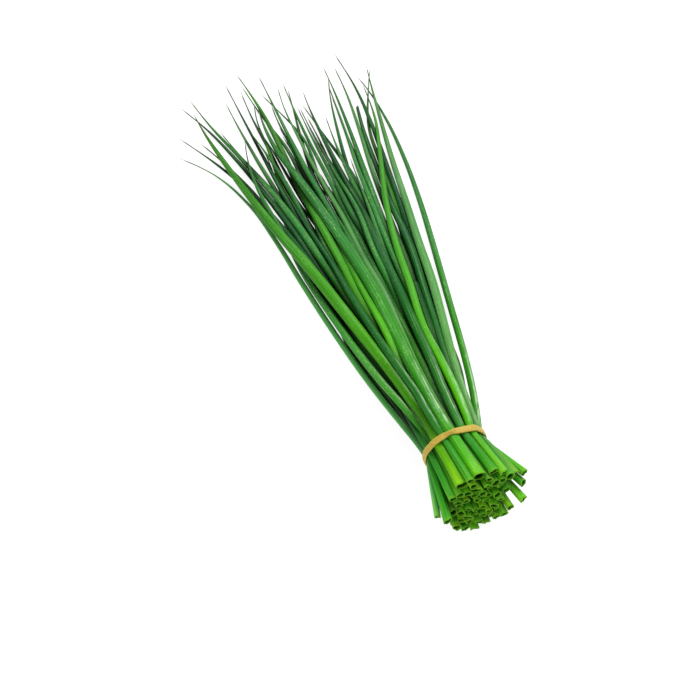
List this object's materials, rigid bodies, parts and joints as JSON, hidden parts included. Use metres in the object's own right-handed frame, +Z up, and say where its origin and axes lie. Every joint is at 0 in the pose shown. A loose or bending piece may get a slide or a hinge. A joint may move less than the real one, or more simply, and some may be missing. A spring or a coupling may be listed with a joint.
{
  "type": "chive bunch",
  "caption": "Bunch of long, hollow, tapering chive leaves lying down, tied near the cut ends with a flat rubber band and fanning out towards the tips.",
  "frame": {"origin": "middle of the underside of the whole bunch, on the surface it lies on", "axes": "+Y from the cut ends to the tips, +X to the right when looking along +Y, +Z up"},
  "size_m": [0.0992, 0.2556, 0.0272],
  "materials": {
    "leaf_bright": "satin fresh leaf, yellowish green",
    "leaf_mid": "satin fresh leaf, mid green",
    "leaf_deep": "satin fresh leaf, dark blue-green",
    "leaf_pale": "waxy fresh leaf, pale grey-green",
    "rubber_band": "matt natural tan rubber"
  },
  "bodies": {
    "root": {"chive_01": "leaf_mid", "chive_02": "leaf_deep", "chive_03": "leaf_deep", "chive_04": "leaf_bright", "chive_05": "leaf_deep", "chive_06": "leaf_mid", "chive_07": "leaf_bright", "chive_08": "leaf_mid", "chive_09": "leaf_pale", "chive_10": "leaf_mid", "chive_11": "leaf_deep", "chive_12": "leaf_bright", "chive_13": "leaf_deep", "chive_14": "leaf_pale", "chive_15": "leaf_deep", "chive_16": "leaf_mid", "chive_17": "leaf_mid", "chive_18": "leaf_deep", "chive_19": "leaf_mid", "chive_20": "leaf_bright", "chive_21": "leaf_mid", "chive_22": "leaf_bright", "chive_23": "leaf_mid", "chive_24": "leaf_deep", "chive_25": "leaf_mid", "chive_26": "leaf_mid", "chive_27": "leaf_deep", "chive_28": "leaf_pale", "chive_29": "leaf_deep", "chive_30": "leaf_deep", "chive_31": "leaf_mid", "chive_32": "leaf_mid", "chive_33": "leaf_mid", "chive_34": "leaf_bright", "chive_35": "leaf_deep", "chive_36": "leaf_mid", "chive_37": "leaf_mid", "chive_38": "leaf_deep", "chive_39": "leaf_bright", "chive_40": "leaf_mid", "chive_41": "leaf_pale", "chive_42": "leaf_mid", "chive_43": "leaf_mid", "chive_44": "leaf_bright", "chive_45": "leaf_mid", "chive_46": "leaf_mid", "chive_47": "leaf_bright", "chive_48": "leaf_mid", "chive_49": "leaf_mid", "chive_50": "leaf_bright", "chive_51": "leaf_deep", "chive_52": "leaf_pale", "chive_53": "leaf_deep", "chive_54": "leaf_mid", "chive_55": "leaf_bright", "chive_56": "leaf_mid", "chive_57": "leaf_mid", "rubber_band": "rubber_band"}
  },
  "joints": []
}
